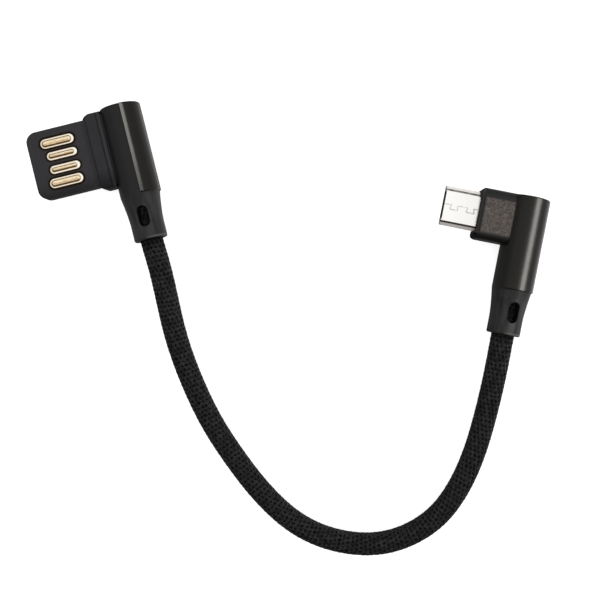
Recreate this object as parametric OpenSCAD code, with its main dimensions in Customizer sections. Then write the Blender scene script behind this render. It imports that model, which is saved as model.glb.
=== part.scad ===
// Short charging cable: a flat reversible USB-A blade and a Micro-B plug, both at
// right angles to their cord, joined by a braided cord that lies on the table.
// Millimetres. +X right, +Y up the page, +Z off the table. The origin is on the table,
// below the middle of the box round the two plugs.
// Each plug is built in its own frame: the tube's axis is -Y with the tube's closed end
// at y = 0, the contacts point along -X, and z = 0 is the plane of the axis.

/* [USB-A blade] */
// Width of the contact blade
blade_w = 11.85; // [11:0.05:12.8]
// Thickness of the blade
blade_t = 2.2; // [2:0.1:2.8]
// Length of blade in front of the collar
blade_len = 10.5; // [9.8:0.1:12]
// Radius of the two corners at the blade's tip
blade_corner_r = 1.8; // [0.5:0.1:2.5]
// Distance from the blade's middle to each outer contact
outer_contact_y = 3.5; // [3.4:0.05:3.8]
// Distance from the blade's middle to each inner contact
inner_contact_y = 1.2; // [1.05:0.05:1.3]
// Length of an outer contact
outer_contact_len = 6; // [5:0.1:6.6]
// Length of an inner contact
inner_contact_len = 5.5; // [4.5:0.1:6]
// Width of an outer contact
outer_contact_w = 1.7; // [1.4:0.05:1.9]
// Width of an inner contact
inner_contact_w = 1.35; // [1.1:0.05:1.6]
// Width of the rolled rim round each contact
contact_rim = 0.26; // [0.15:0.01:0.3]
// Width of the groove inside the rim
contact_groove = 0.16; // [0.1:0.01:0.2]
// Depth of the groove
contact_groove_depth = 0.2; // [0.1:0.05:0.4]
// Height of a contact's rim above the blade
contact_proud = 0.06; // [0:0.01:0.2]
// Gap between the collar and the contacts' inner ends
contact_set_back = 2.25; // [1.9:0.05:2.6]

/* [USB-A collar] */
// Width of the collar round the blade's root
collar_w = 13.4; // [13:0.1:14.6]
// Thickness of the collar
collar_t = 4.5; // [4:0.1:5.4]
// Length of the collar in front of its seat on the tube
collar_len = 3.05; // [2.2:0.05:4]
// Distance of the collar's upper side below the tube's closed end
collar_drop = 0.2; // [0:0.02:0.3]
// Chamfer round the collar's front edge, on its wide faces
collar_chamfer = 0.5; // [0.1:0.1:0.8]
// Length of the slope on each side of the collar's front
collar_slope_len = 1.2; // [0.4:0.1:1.6]
// Height of that slope
collar_slope_h = 0.75; // [0.2:0.05:0.8]
// Radius of the collar's four long edges
collar_edge_r = 0.8; // [0.3:0.1:1.5]
// Depth of the blade's seat inside the collar
blade_seat = 1.2; // [0.6:0.1:1.6]
// Width of the collar's shoulder round the spigot that enters the tube
collar_shoulder = 0.6; // [0.5:0.05:0.8]
// Length of that spigot
collar_spigot = 1.35; // [1:0.05:1.5]
// Height of the step near the collar's root
collar_step = 0.2; // [0.1:0.05:0.4]
// Length of the lower part behind the step
collar_step_len = 0.7; // [0.5:0.1:1.8]

/* [USB-A tube] */
// Outer radius of the tube over its metal cover
a_tube_r = 3.7; // [3.5:0.05:4.4]
// Length of the metal cover
a_cover_len = 15.7; // [15:0.1:20]
// Angle that the metal cover wraps round the tube
a_cover_wrap = 160; // [150:5:200]
// Distance from the tube's axis to the flat seat of the collar
a_seat_x = 3.3; // [3.1:0.05:3.35]
// Length of the strain relief below the metal cover
a_relief_len = 8; // [7:0.5:12]

/* [Micro-B shell] */
// Outer width of the plug shell
micro_w = 6.85; // [6.7:0.05:6.95]
// Outer height of the plug shell
micro_h = 1.8; // [1.75:0.05:2]
// Length of shell that stands out of the block's front wall
micro_len = 6.3; // [5.5:0.1:7]
// Length of the whole shell, with the part inside the block
shell_len = 10; // [9.5:0.1:10.5]
// Thickness of the shell's sheet steel
shell_t = 0.25; // [0.2:0.01:0.27]
// Width of the bevel along each edge of the narrow side
bevel_w = 0.6; // [0.4:0.05:0.8]
// Height of the bevel
bevel_h = 0.75; // [0.6:0.05:0.85]
// Radius of the two edges of the wide side
micro_corner_r = 0.35; // [0.3:0.05:0.4]
// Width of the dovetailed seam line in the narrow side
seam_w = 0.06; // [0.04:0.01:0.1]
// Distance of the seam off the shell's middle, towards the closed end
seam_shift = 0.2; // [0:0.05:0.4]
// Distance from the shell's mouth to the middle of the first dovetail tab
dovetail_start = 1.9; // [1.4:0.1:2.2]
// Width of one dovetail tab in the seam
dovetail_w = 1.3; // [0.9:0.05:1.4]
// Height of a dovetail tab
dovetail_h = 0.8; // [0.5:0.05:1]
// Spacing of the dovetail tabs
dovetail_pitch = 2.9; // [2.6:0.1:3.1]

/* [Micro-B contacts and latches] */
// Distance of the contact carrier behind the shell's mouth
carrier_set_back = 0.5; // [0.3:0.05:0.8]
// Length of the thin contact carrier in front of the insulator's body
carrier_len = 4.5; // [4.3:0.05:4.6]
// Height of the carrier's contact face above the shell's middle
carrier_z = 0.12; // [0.08:0.01:0.2]
// Spacing of the five contacts
pin_pitch = 0.65; // [0.62:0.01:0.7]
// Width of one contact
pin_w = 0.4; // [0.3:0.05:0.45]
// Thickness of a contact strip
pin_t = 0.15; // [0.1:0.01:0.18]
// Length of a contact's tail on the circuit board
pin_tail = 1.2; // [0.8:0.1:1.6]
// Height of the crown that each contact presses with
pin_crown = 0.12; // [0.05:0.01:0.15]
// Distance from the shell's middle to each latch spring
latch_y = 2.45; // [2.4:0.05:2.5]
// Width of a latch spring
latch_w = 0.65; // [0.5:0.05:0.7]
// Thickness of a latch spring
latch_t = 0.2; // [0.15:0.01:0.22]
// Length of a latch spring from its root to the heel of its barb
latch_len = 3.1; // [2.8:0.1:3.3]
// Depth of a latch spring's root inside the insulator
root_depth = 0.7; // [0.6:0.05:0.9]
// Length of the barb's ramp
barb_len = 1.1; // [0.8:0.1:1.2]
// Height that the barb stands below the shell
barb_h = 0.3; // [0.2:0.02:0.36]
// Gap between the contact carrier and the latch springs beside it
latch_side_gap = 0.18; // [0.12:0.01:0.25]
// Room for a latch spring to lift in its slot
latch_lift = 0.14; // [0.1:0.01:0.2]

/* [Micro-B block and tube] */
// Width of the moulded block round the shell's root
block_w = 9; // [8.8:0.05:9.8]
// Thickness of the block
block_t = 5.1; // [4.8:0.1:6]
// Distance from the tube's axis to the front of the block's two ears
block_reach = 8.65; // [8.4:0.05:10]
// Distance that the ears stand in front of the wall between them
ear_out = 0.4; // [0.1:0.05:0.6]
// Radius of the ears seen from above
ear_r = 0.95; // [0.7:0.05:1.2]
// Distance that the block stands past the tube's closed end
block_rise = 0.15; // [0:0.05:0.6]
// Distance that the shell sits off the block's middle, towards the closed end
shell_shift = 0.3; // [0:0.05:0.3]
// Radius of the block's four long edges
block_edge_r = 1.3; // [0.5:0.1:1.6]
// Radius of the block's front edges, above and below the shell
block_corner_r = 0.8; // [0.4:0.1:1.3]
// Outer radius of the tube over its metal cover
b_tube_r = 3.66; // [3.56:0.05:4.2]
// Length of the metal cover
b_cover_len = 16.3; // [15.6:0.1:20]
// Angle that the metal cover wraps round the tube
b_cover_wrap = 266; // [220:2:270]
// Length of the strain relief below the metal cover
b_relief_len = 7.85; // [6.6:0.05:12]
// Turn of that relief's windows round the tube's axis
b_window_turn = 10; // [0:1:20]

/* [Covers and strain reliefs] */
// Thickness of the metal covers
cover_t = 0.4; // [0.3:0.02:0.45]
// Height that a cover stands above the moulding beside it
cover_proud = 0.24; // [0.1:0.01:0.26]
// Radius of the covers' outer rims
cover_rim_r = 0.25; // [0.1:0.05:0.28]
// Outer radius of a strain relief at its mouth
relief_r = 2.9; // [2.7:0.05:3.1]
// Length of the flare between the tube and the plain part of the relief
flare_len = 5; // [3:0.5:6]
// Radius of the rounded rim at the relief's mouth
mouth_rim_r = 0.3; // [0.1:0.05:0.4]
// Width of the window in a strain relief
window_w = 1.9; // [1.4:0.1:2.2]
// Length of the window
window_len = 3.7; // [2.8:0.1:4]
// Distance from the window's middle to the relief's mouth
window_place = 4; // [3.2:0.1:4.4]

/* [Cord] */
// Diameter of the braided cord
cord_d = 4; // [3.5:0.1:4]
// Thickness of the woven nylon sleeve
braid_t = 0.3; // [0.2:0.05:0.4]
// Diameter of one insulated wire
wire_d = 0.85; // [0.7:0.05:0.9]
// Diameter of the bare end of a wire
strand_d = 0.4; // [0.3:0.05:0.5]

/* [Inside the plugs] */
// Thickness of the moulded wall round the cavity
tube_wall = 0.95; // [0.9:0.05:1]
// Thickness of the closed end wall
end_wall = 1; // [0.6:0.1:1.4]
// Length of strain relief bore that grips the cord beyond the cover's end
grip_len = 0.9; // [0.5:0.1:2]
// Thickness of the circuit boards
board_t = 0.6; // [0.4:0.1:0.8]
// Width of plastic beside the board inside the blade
blade_rim = 1; // [0.8:0.1:1.4]
// Distance that the USB-A board reaches past the tube's axis
a_board_x = 1.6; // [1.3:0.1:1.9]
// Distance that the Micro-B board reaches past the tube's axis
b_board_x = 1.7; // [1.3:0.1:1.9]
// Width of the Micro-B board behind the shell
b_board_w = 5.8; // [5:0.1:6.4]
// Length of the Micro-B board down the tube from its closed end
b_board_end = 11; // [10.5:0.1:12]
// Thickness of the block's front wall, which grips the shell
block_wall = 1.4; // [1:0.1:2]
// Height of the cavity inside the block
block_cavity_t = 3.7; // [3.2:0.1:3.8]
// Space beside the shell in the block's cavity
block_space = 0.08; // [0.05:0.01:0.12]
// Length of cord jacket that the inner mould holds
jacket_grip = 1.4; // [0.8:0.1:2]
// Length of cord jacket left bare of its woven sleeve
sleeve_cut = 2; // [1.6:0.1:2.8]
// Length of bare strands at the end of each wire
strand_len = 1.4; // [0.8:0.1:2]

/* [Fits] */
// Clearance between pieces that are assembled and stay still
seat_gap = 0.03; // [0.02:0.01:0.05]
// Clearance round the cord in its bore
cord_gap = 0.05; // [0.02:0.01:0.1]
// Running clearance round the latch springs' roots
pivot_gap = 0.04; // [0.03:0.01:0.06]

/* [Hidden] */
$fn = 48;

// Where each plug lies on the table: closed end of its tube, and turn about +Z
a_place = [-29.58, 19.58];
a_turn = 13.9;
b_place = [41.79, 3.78];
b_turn = -11.1;

// Points that the cord passes over between the two plugs, and its lift off the table there
cord_route = [
    [-22.67, -7.24, 1.7], [-21.45, -12.81, 1.05], [-20.22, -18.83, 0.25], [-18.72, -23.83, 0],
    [-16.3, -29.84, 0], [-13.3, -35.84, 0], [-9.27, -41.91, 0], [-4.89, -47.53, 0],
    [0.59, -52.67, 0], [6.69, -55.71, 0], [13.82, -56.83, 0], [19.97, -55.65, 0],
    [25.7, -52.21, 0], [29.66, -47.05, 0], [32.47, -40.84, 0], [34.35, -34.33, 0.25],
    [35.74, -27.82, 1.05], [36.4, -23.84, 1.66]
];
// Straight run of the cord out of each strain relief
cord_straight = 1.5;
cord_sides = 8;
// How far a cut runs past the surface that it opens
cut_over = 2;

// Colours
moulding_colour = [0.09, 0.09, 0.1];
blade_colour = [0.13, 0.13, 0.15];
metal_colour = [0.22, 0.21, 0.2];
gold_colour = [0.92, 0.76, 0.45];
nickel_colour = [0.86, 0.85, 0.82];
board_colour = [0.1, 0.32, 0.18];
inner_colour = [0.85, 0.85, 0.8];
braid_colour = [0.05, 0.05, 0.055];

// Derived sizes of the USB-A plug
a_moulding_r = a_tube_r - cover_proud;
a_len = a_cover_len + a_relief_len;
a_middle_y = -collar_drop - collar_w / 2;
a_tip_x = -a_seat_x - collar_len - blade_len;
a_shoulder_x = -a_seat_x - collar_len;
a_cavity_r = a_moulding_r - tube_wall;
a_cavity_end = a_cover_len - grip_len;
a_jacket_start = a_cavity_end - jacket_grip;
a_sleeve_start = a_jacket_start + sleeve_cut;
a_pocket_w = collar_w - 2 * collar_shoulder;
a_pocket_t = collar_t - 2 * collar_shoulder;
a_pocket_x = -a_seat_x + collar_spigot;
a_board_w = blade_w - 2 * blade_rim;
contact_end_x = a_shoulder_x - contact_set_back;

// Derived sizes of the Micro-B plug
b_moulding_r = b_tube_r - cover_proud;
b_len = b_cover_len + b_relief_len;
b_middle_y = block_rise - block_w / 2;
b_shell_y = b_middle_y + shell_shift;
b_cavity_r = b_moulding_r - tube_wall;
b_cavity_end = b_cover_len - grip_len;
b_jacket_start = b_cavity_end - jacket_grip;
b_sleeve_start = b_jacket_start + sleeve_cut;
block_front = block_reach - ear_out;
micro_tip_x = -block_front - micro_len;
micro_back_x = micro_tip_x + shell_len;
insulator_front_x = micro_tip_x + carrier_set_back;
insulator_step_x = insulator_front_x + carrier_len;
insulator_back_x = micro_back_x - 3 * seat_gap;
carrier_w = 2 * (latch_y - latch_w / 2 - latch_side_gap);
pin_front_x = insulator_front_x + 0.2;
pin_top_z = carrier_z - seat_gap;
pin_tail_x = micro_back_x + pin_tail;
pin_tail_z = board_t / 2 + seat_gap + pin_t;
pin_rise_x = insulator_step_x + carrier_len / 2;
b_board_front_x = micro_back_x + 3 * seat_gap;
b_cavity_w = micro_w + 2 * block_space;

// Derived sizes of the latch springs
latch_root_r = latch_t / 2 + 0.1;
latch_root_x = insulator_step_x + root_depth;
latch_z = shell_t + seat_gap + latch_root_r - micro_h / 2;
barb_heel_x = latch_root_x - latch_len;
barb_tip_x = barb_heel_x - barb_len;

// Derived sizes of the cord
cord_r = cord_d / 2;
jacket_r = cord_r - braid_t - seat_gap;
wire_r = wire_d / 2;
wire_x = wire_r + 0.1;
wire_z = board_t / 2 + wire_r + seat_gap;
window_depth = 1.2;

// The four wires: side of the axis, side of the board, and where its insulation ends
red_wire = [-1, 1, 5];
white_wire = [1, 1, 6.5];
green_wire = [1, -1, 8];
black_wire = [-1, -1, 9.5];
all_wires = [red_wire, white_wire, green_wire, black_wire];

// ---- Placing and shaping ----

module at_usb_a() { translate([a_place.x, a_place.y, a_tube_r]) rotate([0, 0, a_turn]) children(); }
module at_micro() { translate([b_place.x, b_place.y, b_tube_r]) rotate([0, 0, b_turn]) children(); }

// A revolved profile: its height runs along the cord from the tube's closed end
module along_cord() { rotate([90, 0, 0]) children(); }

// A section drawn as (y, z) and extruded from x0 to x1
module along_x(x0, x1) {
    translate([x0, 0, 0]) rotate([90, 0, 90]) linear_extrude(x1 - x0) children();
}

// A side view drawn as (x, z) and extruded over the width w about y = 0
module across_y(w) { rotate([90, 0, 0]) linear_extrude(w, center = true) children(); }

// A box given by two corners along x and by its width and thickness about the middle
module slab(x0, x1, w, t) { translate([x0, -w / 2, -t / 2]) cube([x1 - x0, w, t]); }

module round_rect(w, h, r) {
    square([w - 2 * r, h], center = true);
    square([w, h - 2 * r], center = true);
    for (i = [-1, 1], j = [-1, 1]) translate([i * (w / 2 - r), j * (h / 2 - r)]) circle(r);
}

// Outline from x0 to x1 whose two corners at x0 are rounded
module round_front(x0, x1, w, r) {
    translate([x0 + r, -w / 2]) square([x1 - x0 - r, w]);
    translate([x0, r - w / 2]) square([2 * r, w - 2 * r]);
    for (side = [-1, 1]) translate([x0 + r, side * (w / 2 - r)]) circle(r);
}

// Outline from x0 to x1 whose two corners at x0 slope off over "run" by "rise"
module sloped_front(x0, x1, w, run, rise) {
    polygon([[x0, rise - w / 2], [x0 + run, -w / 2], [x1, -w / 2],
             [x1, w / 2], [x0 + run, w / 2], [x0, w / 2 - rise]]);
}

module slot_shape(len, w) {
    square([len - w, w], center = true);
    for (side = [-1, 1]) translate([side * (len - w) / 2, 0]) circle(w / 2);
}

// Radius of the strain relief at distance d below the cover: a flare that eases out
function flare(r, d) = relief_r + (r - relief_r) * pow(max(0, 1 - d / flare_len), 1.5);

// Outline of tube and strain relief as (radius, distance from the closed end)
module body_profile(r, cover_len, len) {
    rim = cover_rim_r;
    polygon(concat(
        [[0, 0], [r - rim, 0]],
        [for (a = [30, 60]) [r - rim + rim * sin(a), rim - rim * cos(a)]],
        [[r, rim]],
        [for (i = [0:8]) [flare(r, flare_len * i / 8), cover_len + flare_len * i / 8]],
        [[relief_r, len - mouth_rim_r]],
        [for (a = [30, 60]) [relief_r - mouth_rim_r + mouth_rim_r * cos(a),
                             len - mouth_rim_r + mouth_rim_r * sin(a)]],
        [[relief_r - mouth_rim_r, len], [0, len]]
    ));
}

// A ring sector between two radii, centred on +X, from distance d0 to d1
module sector(r0, r1, d0, d1, wrap) {
    along_cord() rotate([0, 0, -wrap / 2]) rotate_extrude(angle = wrap)
        translate([r0, d0]) square([r1 - r0, d1 - d0]);
}

// Tube and strain relief with the cover's recess, cavity, cord bore and windows
module tube_body(r, cover_len, len, wrap, cavity_r, cavity_end, window_turn) {
    bore_r = cord_r + cord_gap;
    difference() {
        union() {
            along_cord() rotate_extrude($fn = 96) body_profile(r, cover_len, len);
            children(0);
        }
        sector(r + cover_proud - cover_t - seat_gap, r + cut_over, -cut_over, cover_len + seat_gap,
               wrap + 1);
        along_cord() translate([0, 0, end_wall]) cylinder(cavity_end - end_wall, r = cavity_r);
        along_cord() translate([0, 0, cavity_end - 1]) cylinder(len, r = bore_r);
        along_cord() translate([0, 0, len - 0.6]) cylinder(0.7, r1 = bore_r, r2 = bore_r + 0.3);
        for (turn = [0, 180]) rotate([0, window_turn + turn, 0])
            translate([0, window_place - len, window_depth])
                rotate([0, 0, 90]) linear_extrude(r) slot_shape(window_len, window_w);
        children(1);
    }
}

// Formed metal cover with rolled outer rims and a shallow lip over the closed end
module cover(r, len, wrap) {
    rim = cover_rim_r;
    inner = r - cover_t;
    along_cord() rotate([0, 0, -wrap / 2]) rotate_extrude(angle = wrap, $fn = 96)
        polygon(concat(
            [[inner, 0], [r - rim, 0]],
            [for (a = [30, 60]) [r - rim + rim * sin(a), rim - rim * cos(a)]],
            [[r, rim], [r, len - rim / 2], [r - rim / 2, len], [inner, len]]
        ));
}

// Wire number w from where its insulation ends down to the cord jacket's face
module wire(w, jacket_start, grow = 0) {
    translate([w[0] * wire_x, 0, w[1] * wire_z]) along_cord() {
        translate([0, 0, w[2] - grow])
            cylinder(jacket_start - w[2] + grow, r = wire_r + grow, $fn = 32);
        translate([0, 0, w[2] - strand_len - grow])
            cylinder(strand_len + 2 * grow, r = (grow > 0) ? wire_r + grow : strand_d / 2, $fn = 24);
    }
}

// Jacket of the cord inside a plug, and the woven sleeve round it
module cord_jacket(start, len) {
    along_cord() translate([0, 0, start]) cylinder(len - start, r = jacket_r);
}
module cord_sleeve(start, len) {
    along_cord() translate([0, 0, start]) difference() {
        cylinder(len - start, r = cord_r);
        translate([0, 0, -1]) cylinder(len, r = jacket_r + seat_gap);
    }
}

// White mould that locks board, wires and cord jacket into the tube's cavity
module inner_core(cavity_r, cavity_end, jacket_start) {
    difference() {
        union() {
            along_cord() translate([0, 0, end_wall + seat_gap])
                cylinder(cavity_end - end_wall - 2 * seat_gap, r = cavity_r - seat_gap);
            children(0);
        }
        along_cord() translate([0, 0, jacket_start])
            cylinder(cavity_end, r = jacket_r + seat_gap);
        for (w = all_wires) wire(w, jacket_start + 0.1, seat_gap);
        children(1);
    }
}

// ---- USB-A plug ----

// One contact's outline at the blade's side y, inner end at contact_end_x
module contact_outline(y, len, w, grow) {
    translate([contact_end_x - len / 2, a_middle_y + y]) slot_shape(len + 2 * grow, w + 2 * grow);
}
module contact_outlines(grow) {
    for (side = [-1, 1]) {
        contact_outline(side * outer_contact_y, outer_contact_len, outer_contact_w, grow);
        contact_outline(side * inner_contact_y, inner_contact_len, inner_contact_w, grow);
    }
}
module contact_row() {
    top = blade_t / 2 + contact_proud;
    difference() {
        translate([0, 0, board_t / 2 + seat_gap])
            linear_extrude(top - board_t / 2 - seat_gap) contact_outlines(0);
        translate([0, 0, top - contact_groove_depth]) linear_extrude(1) difference() {
            contact_outlines(-contact_rim);
            contact_outlines(-contact_rim - contact_groove);
        }
    }
}
module board_a(grow) {
    translate([0, a_middle_y, 0])
        slab(a_tip_x + blade_rim - grow, a_board_x + grow, a_board_w + 2 * grow,
             board_t + 2 * grow);
}

module usb_a_blade() color(blade_colour) at_usb_a() difference() {
    translate([0, a_middle_y, -blade_t / 2]) linear_extrude(blade_t)
        round_front(a_tip_x, a_shoulder_x + blade_seat, blade_w, blade_corner_r);
    board_a(seat_gap);
    for (side = [0, 1]) mirror([0, 0, side]) linear_extrude(blade_t) contact_outlines(seat_gap);
}

module usb_a_contacts_upper() color(gold_colour) at_usb_a() contact_row();
module usb_a_contacts_lower() color(gold_colour) at_usb_a() mirror([0, 0, 1]) contact_row();

module usb_a_collar() color(blade_colour) at_usb_a() difference() {
    translate([0, a_middle_y, 0]) union() {
        intersection() {
            along_x(a_shoulder_x, -a_seat_x) round_rect(collar_w, collar_t, collar_edge_r);
            translate([0, 0, -collar_t]) linear_extrude(2 * collar_t)
                sloped_front(a_shoulder_x, -a_seat_x, collar_w, collar_slope_len, collar_slope_h);
            across_y(2 * collar_w) union() {
                sloped_front(a_shoulder_x, -a_seat_x - collar_step_len, collar_t, collar_chamfer,
                             collar_chamfer);
                translate([a_shoulder_x + collar_chamfer, collar_step - collar_t / 2])
                    square([collar_len - collar_chamfer, collar_t - 2 * collar_step]);
            }
        }
        slab(-a_seat_x - 0.1, a_pocket_x, a_pocket_w, a_pocket_t);
    }
    board_a(seat_gap);
    translate([0, a_middle_y, 0])
        slab(a_shoulder_x - 1, a_shoulder_x + blade_seat + seat_gap, blade_w + 2 * seat_gap,
             blade_t + 2 * seat_gap);
}

module usb_a_circuit_board() color(board_colour) at_usb_a() board_a(0);

module usb_a_housing() color(moulding_colour) at_usb_a()
    tube_body(a_moulding_r, a_cover_len, a_len, a_cover_wrap, a_cavity_r, a_cavity_end, 0) {
        union() {}
        union() {
            // Flat seat from below the collar to past the closed end
            translate([-a_tube_r - 1, -collar_drop - collar_w - seat_gap, -a_tube_r])
                cube([a_tube_r + 1 - a_seat_x + seat_gap, collar_w + 1, 2 * a_tube_r]);
            translate([0, a_middle_y, 0])
                slab(-a_tube_r, 0, a_pocket_w + 2 * seat_gap, a_pocket_t + 2 * seat_gap);
        }
    }

module usb_a_metal_cover() color(metal_colour) at_usb_a() cover(a_tube_r, a_cover_len, a_cover_wrap);

module usb_a_inner_mould() color(inner_colour) at_usb_a()
    inner_core(a_cavity_r, a_cavity_end, a_jacket_start) {
        union() {}
        union() {
            board_a(seat_gap);
            translate([0, a_middle_y, 0])
                slab(-2 * a_tube_r, a_pocket_x + seat_gap, 2 * collar_w, 2 * a_tube_r);
        }
    }

module usb_a_cord_jacket() color(braid_colour) at_usb_a() cord_jacket(a_jacket_start, a_len);
module usb_a_cord_sleeve() color(braid_colour) at_usb_a() cord_sleeve(a_sleeve_start, a_len);
module usb_a_wire_red() color("red") at_usb_a() wire(red_wire, a_jacket_start);
module usb_a_wire_white() color("white") at_usb_a() wire(white_wire, a_jacket_start);
module usb_a_wire_green() color("green") at_usb_a() wire(green_wire, a_jacket_start);
module usb_a_wire_black() color("black") at_usb_a() wire(black_wire, a_jacket_start);

// ---- Micro-B plug ----

// Section of the shell, narrow side up, drawn in all round by "inset"
module micro_section(inset) {
    w = micro_w - 2 * inset;
    h = micro_h - 2 * inset;
    r = max(micro_corner_r - inset, 0.05);
    reach = bevel_h * micro_w / 2 + bevel_w * (micro_h / 2 - bevel_h)
            - inset * norm([bevel_w, bevel_h]);
    right = concat(
        [for (a = [-90:30:0]) [w / 2 - r + r * cos(a), r - h / 2 + r * sin(a)]],
        [[w / 2, (reach - bevel_h * w / 2) / bevel_w],
         [(reach - bevel_w * h / 2) / bevel_h, h / 2]]);
    left = [for (i = [len(right) - 1:-1:0]) [-right[i].x, right[i].y]];
    polygon(concat(right, left));
}

// Seam line of the folded shell: straight runs joined by dovetail tabs
module seam() {
    neck = dovetail_w / 2 - 0.12;
    wide = dovetail_w / 2 + 0.06;
    starts = [for (i = [0, 1, 2]) micro_tip_x + dovetail_start + i * dovetail_pitch];
    line = concat([[micro_tip_x - 1, 0]],
        [for (x = starts) each [[x - neck, 0], [x - wide, -dovetail_h],
                                [x + wide, -dovetail_h], [x + neck, 0]]],
        [[micro_back_x + 1, 0]]);
    for (i = [0:len(line) - 2]) {
        run = line[i + 1] - line[i];
        translate([line[i].x, line[i].y + seam_shift, micro_h / 2 - shell_t / 2])
            rotate([0, 0, atan2(run.y, run.x)])
                translate([-seam_w / 2, -seam_w / 2, 0]) cube([norm(run) + seam_w, seam_w, 1]);
    }
}

module at_shell() { translate([0, b_shell_y, 0]) children(); }

module micro_shell() color(nickel_colour) at_micro() at_shell() difference() {
    along_x(micro_tip_x, micro_back_x) difference() {
        micro_section(0);
        micro_section(shell_t);
    }
    seam();
    for (side = [-1, 1]) translate([0, side * latch_y, -micro_h / 2])
        slab(barb_tip_x - 0.25, barb_heel_x + 0.25, latch_w + 0.2, 3 * shell_t);
}

// Side view of one contact strip: crowned tip, straight run, rise to its tail on the board
module pin_side() {
    crown_x = pin_front_x + 0.8;
    low = pin_top_z - pin_t;
    polygon([
        [pin_front_x, pin_top_z], [pin_front_x, low], [crown_x - 0.5, low],
        [crown_x - 0.15, low - pin_crown], [crown_x + 0.15, low - pin_crown],
        [crown_x + 0.6, low], [pin_rise_x + 0.1, low],
        [pin_rise_x + 0.5, pin_tail_z - pin_t], [pin_tail_x, pin_tail_z - pin_t],
        [pin_tail_x, pin_tail_z], [pin_rise_x + 0.4, pin_tail_z], [pin_rise_x, pin_top_z]
    ]);
}

module micro_contacts() color(gold_colour) at_micro() at_shell()
    for (i = [-2:2]) translate([0, i * pin_pitch, 0]) across_y(pin_w) pin_side();

module micro_insulator() color(blade_colour) at_micro() at_shell() difference() {
    intersection() {
        along_x(insulator_front_x, insulator_back_x) micro_section(shell_t + seat_gap);
        union() {
            slab(insulator_step_x, insulator_back_x, micro_w, micro_h);
            translate([insulator_front_x, -carrier_w / 2, carrier_z])
                cube([insulator_step_x - insulator_front_x + 1, carrier_w, micro_h]);
        }
    }
    // Channels that the five contact strips run through
    for (i = [-2:2]) translate([insulator_step_x - 0.1, i * pin_pitch - pin_w / 2 - seat_gap,
                                pin_top_z - pin_t - seat_gap])
        cube([insulator_back_x - insulator_step_x + 0.2, pin_w + 2 * seat_gap,
              pin_tail_z - pin_top_z + pin_t + 2 * seat_gap]);
    // Seats of the latch springs' rolled roots, and room for their arms to lift
    for (side = [-1, 1]) translate([0, side * latch_y, 0]) {
        translate([latch_root_x, 0, latch_z]) rotate([90, 0, 0])
            cylinder(latch_w + 2 * pivot_gap, r = latch_root_r + pivot_gap, center = true);
        translate([insulator_step_x - 1, -latch_w / 2 - pivot_gap, -micro_h])
            cube([latch_root_x - insulator_step_x + 1, latch_w + 2 * pivot_gap,
                  micro_h + latch_z + latch_t / 2 + latch_lift]);
    }
}

// Flat spring with a rolled root and a hooked barb that stands out below the shell
module latch(side) {
    top = latch_z + latch_t / 2;
    under = latch_z - latch_t / 2;
    barb_z = -micro_h / 2 - barb_h;
    translate([0, side * latch_y, 0]) {
        translate([latch_root_x, 0, latch_z]) rotate([90, 0, 0])
            cylinder(latch_w, r = latch_root_r, center = true);
        across_y(latch_w) polygon([
            [latch_root_x, top], [barb_tip_x, top], [barb_tip_x, under],
            [barb_heel_x - 0.3, barb_z], [barb_heel_x, barb_z], [barb_heel_x, under],
            [latch_root_x, under]
        ]);
    }
}
module micro_latch_left() color(nickel_colour) at_micro() at_shell() latch(-1);
module micro_latch_right() color(nickel_colour) at_micro() at_shell() latch(1);

// Board of the Micro-B plug: a head behind the shell and a leg down the tube
module board_b(grow) {
    top_y = b_shell_y + b_board_w / 2;
    at_shell() slab(b_board_front_x - grow, b_board_x + grow, b_board_w + 2 * grow,
                    board_t + 2 * grow);
    translate([-b_board_x - grow, -b_board_end - grow, -board_t / 2 - grow])
        cube([2 * (b_board_x + grow), top_y + b_board_end + grow, board_t + 2 * grow]);
}
module micro_circuit_board() color(board_colour) at_micro() board_b(0);

// Space inside the block, drawn in by "inset"
module block_cavity(inset) {
    at_shell() slab(-block_front + block_wall + inset, 0, b_cavity_w - 2 * inset,
                    block_cavity_t - 2 * inset);
}

// The block from above: a front wall between two round ears
module block_outline() {
    ear_x = ear_r - block_reach;
    translate([-block_front, ear_r - block_w / 2]) square([block_front, block_w - 2 * ear_r]);
    translate([ear_x, -block_w / 2]) square([-ear_x, block_w]);
    for (side = [-1, 1]) translate([ear_x, side * (block_w / 2 - ear_r)]) circle(ear_r);
}

module micro_housing() color(moulding_colour) at_micro()
    tube_body(b_moulding_r, b_cover_len, b_len, b_cover_wrap, b_cavity_r, b_cavity_end,
              b_window_turn) {
        translate([0, b_middle_y, 0]) intersection() {
            along_x(-block_reach, 0) round_rect(block_w, block_t, block_edge_r);
            translate([0, 0, -block_t]) linear_extrude(2 * block_t)
                block_outline();
            across_y(2 * block_w) round_front(-block_reach, 0, block_t, block_corner_r);
        }
        union() {
            block_cavity(0);
            at_shell() along_x(-block_reach - 1, -block_front + block_wall + 1)
                micro_section(-seat_gap);
        }
    }

module micro_metal_cover() color(metal_colour) at_micro() cover(b_tube_r, b_cover_len, b_cover_wrap);

module micro_inner_mould() color(inner_colour) at_micro()
    inner_core(b_cavity_r, b_cavity_end, b_jacket_start) {
        block_cavity(seat_gap);
        union() {
            board_b(seat_gap);
            at_shell() slab(-2 * block_reach, micro_back_x + seat_gap, micro_w + 2 * seat_gap,
                            micro_h + 2 * seat_gap);
            at_shell() slab(micro_back_x - 1, pin_tail_x + seat_gap, carrier_w,
                            2 * (pin_tail_z + seat_gap));
        }
    }

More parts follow.
